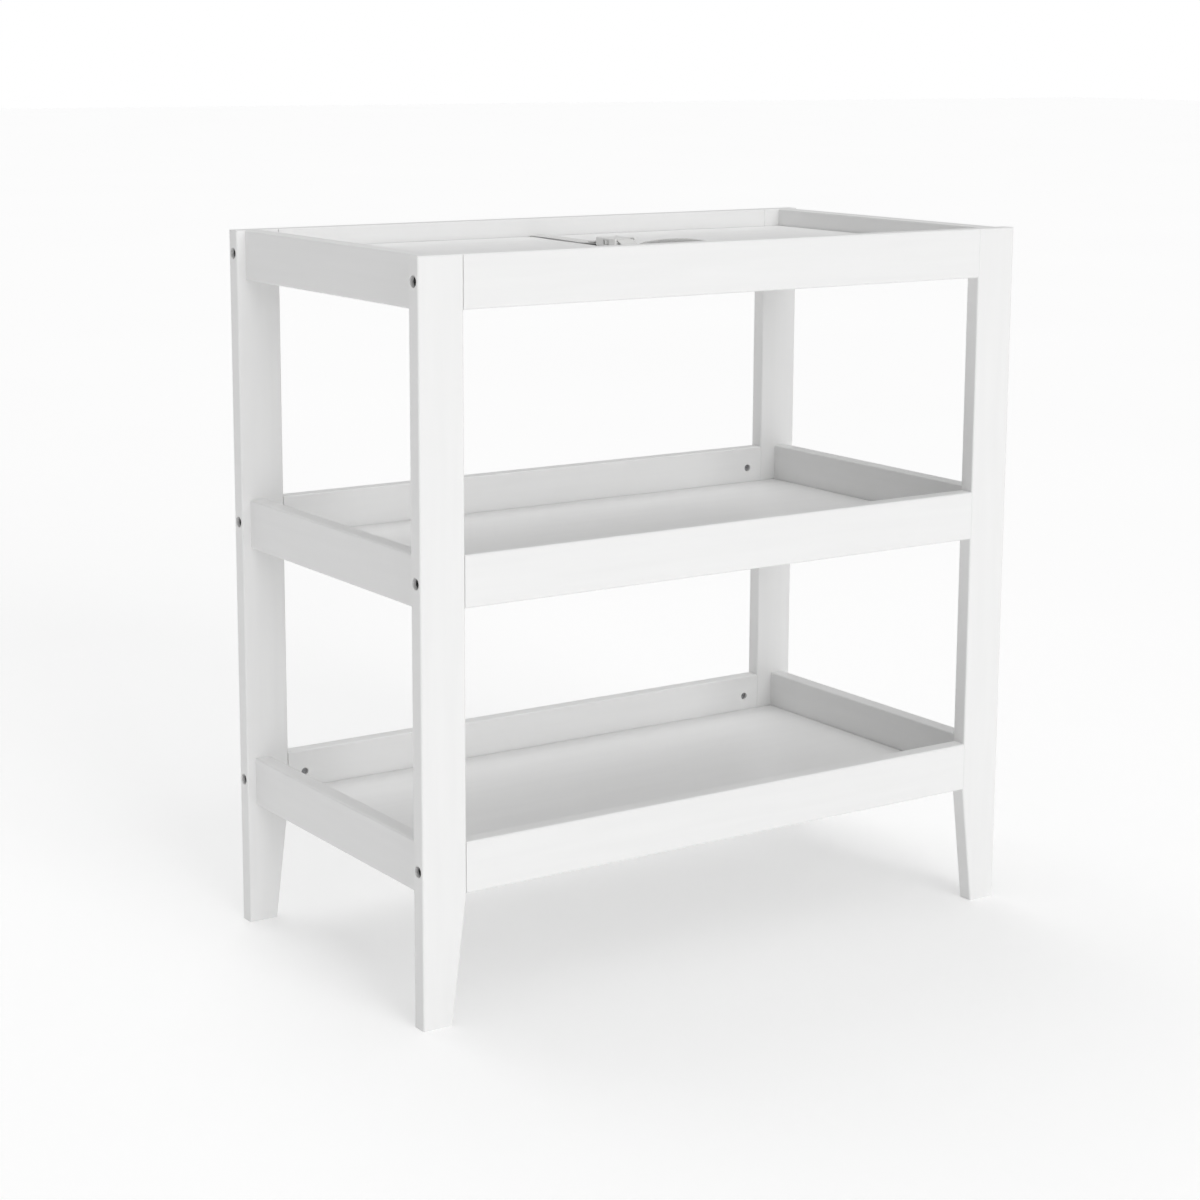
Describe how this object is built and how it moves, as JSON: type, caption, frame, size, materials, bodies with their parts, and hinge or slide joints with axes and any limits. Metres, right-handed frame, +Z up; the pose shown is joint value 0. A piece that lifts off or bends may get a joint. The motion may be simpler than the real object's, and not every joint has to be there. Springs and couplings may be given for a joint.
{
  "type": "changing table",
  "caption": "White timber changing table: plank legs carry a shallow top tray and open shelf trays, with bolted rails and a buckled safety strap across the top.",
  "frame": {"origin": "middle of the footprint, on the floor", "axes": "+X to the right along the length, -Y to the front long side, +Z up"},
  "size_m": [0.9, 0.48, 0.915],
  "materials": {
    "painted_frame": "satin white paint on solid timber",
    "painted_panel": "satin white paint on board",
    "painted_cleat": "satin white paint on solid timber",
    "beech_dowel": "bare fluted beech, hidden in the joints",
    "bolt_steel": "black oxide",
    "nut_steel": "dull zinc plate",
    "screw_steel": "zinc plate",
    "strap_webbing": "white woven polyester webbing",
    "buckle_plastic": "white moulded plastic, fine satin"
  },
  "bodies": {
    "frame": {"barrel_nuts": "nut_steel", "bottom_front_cleat": "painted_cleat", "bottom_front_rail": "painted_frame", "bottom_left_cleat": "painted_cleat", "bottom_left_rail": "painted_frame", "bottom_panel": "painted_panel", "bottom_rear_cleat": "painted_cleat", "bottom_rear_rail": "painted_frame", "bottom_right_cleat": "painted_cleat", "bottom_right_rail": "painted_frame", "buckle_socket": "buckle_plastic", "cleat_screws": "screw_steel", "end_rail_dowels": "beech_dowel", "front_left_leg": "painted_frame", "front_right_leg": "painted_frame", "front_strap": "strap_webbing", "joint_bolts": "bolt_steel", "long_rail_dowels": "beech_dowel", "middle_front_cleat": "painted_cleat", "middle_front_rail": "painted_frame", "middle_left_cleat": "painted_cleat", "middle_left_rail": "painted_frame", "middle_panel": "painted_panel", "middle_rear_cleat": "painted_cleat", "middle_rear_rail": "painted_frame", "middle_right_cleat": "painted_cleat", "middle_right_rail": "painted_frame", "panel_screws": "screw_steel", "rear_left_leg": "painted_frame", "rear_right_leg": "painted_frame", "rear_strap": "strap_webbing", "strap_screws": "screw_steel", "strap_washers": "screw_steel", "top_front_cleat": "painted_cleat", "top_front_rail": "painted_frame", "top_left_cleat": "painted_cleat", "top_left_rail": "painted_frame", "top_panel": "painted_panel", "top_rear_cleat": "painted_cleat", "top_rear_rail": "painted_frame", "top_right_cleat": "painted_cleat", "top_right_rail": "painted_frame"},
    "tongue": {"buckle_tongue": "buckle_plastic"}
  },
  "joints": [
    {"name": "buckle_slide", "type": "slide", "parent": "frame", "child": "tongue", "axis": [-0.0467, -0.9989, 0], "range_m": [0, 0.024], "deforming": ["front_strap"]}
  ]
}
